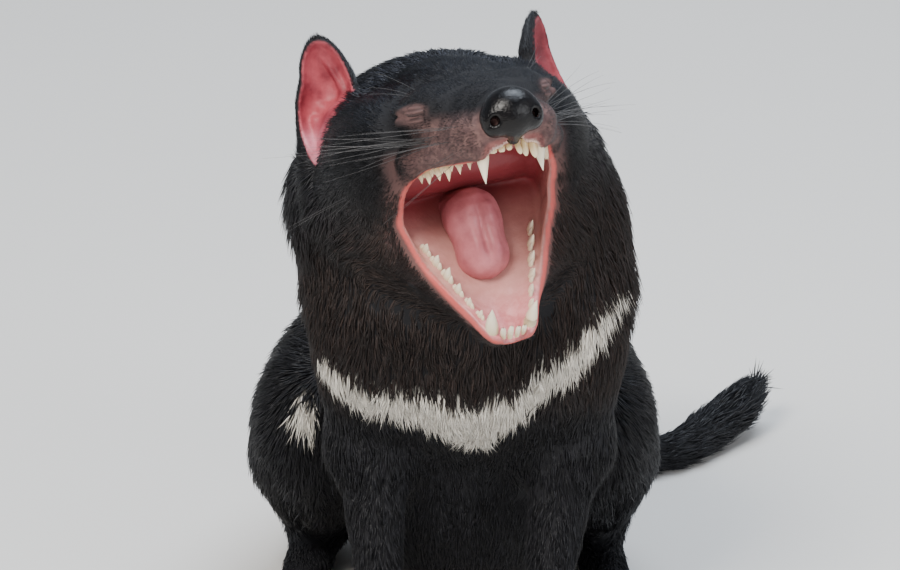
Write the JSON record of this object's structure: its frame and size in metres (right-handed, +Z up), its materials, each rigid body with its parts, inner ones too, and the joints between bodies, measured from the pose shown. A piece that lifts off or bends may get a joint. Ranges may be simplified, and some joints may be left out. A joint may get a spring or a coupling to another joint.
{
  "type": "tasmanian devil",
  "caption": "Tasmanian devil sitting upright with its mouth wide open, black fur with a white chest band, life size.",
  "frame": {"origin": "middle of the model's box, on the floor that its feet stand on", "axes": "+Z up, the animal faces -Y, +X is its left side"},
  "size_m": [0.276, 0.4346, 0.3222],
  "materials": {
    "black_fur": "coarse glossy fur",
    "white_fur": "coarse fur",
    "ear_skin": "thin bare skin with fine hair",
    "nose_leather": "wet black skin",
    "tongue_pink": "wet",
    "eye_dark": "wet",
    "teeth": "ivory enamel",
    "claw_horn": "dull horn",
    "whisker": "stiff hair",
    "lid_skin": "thin bare skin"
  },
  "bodies": {
    "root": {"abdomen": "black_fur", "chest": "black_fur", "chest_blaze": "white_fur", "head": "black_fur", "left_ear": "ear_skin", "left_eye": "eye_dark", "left_forearm": "black_fur", "left_forepaw": "black_fur", "left_hind_foot": "black_fur", "left_thigh": "black_fur", "left_upper_arm": "black_fur", "lower_jaw": "black_fur", "neck": "black_fur", "nose": "nose_leather", "right_ear": "ear_skin", "right_eye": "eye_dark", "right_forearm": "black_fur", "right_forepaw": "black_fur", "right_hind_foot": "black_fur", "right_thigh": "black_fur", "right_upper_arm": "black_fur", "tail": "black_fur", "tail_tip": "black_fur", "tongue": "tongue_pink"}
  },
  "joints": []
}
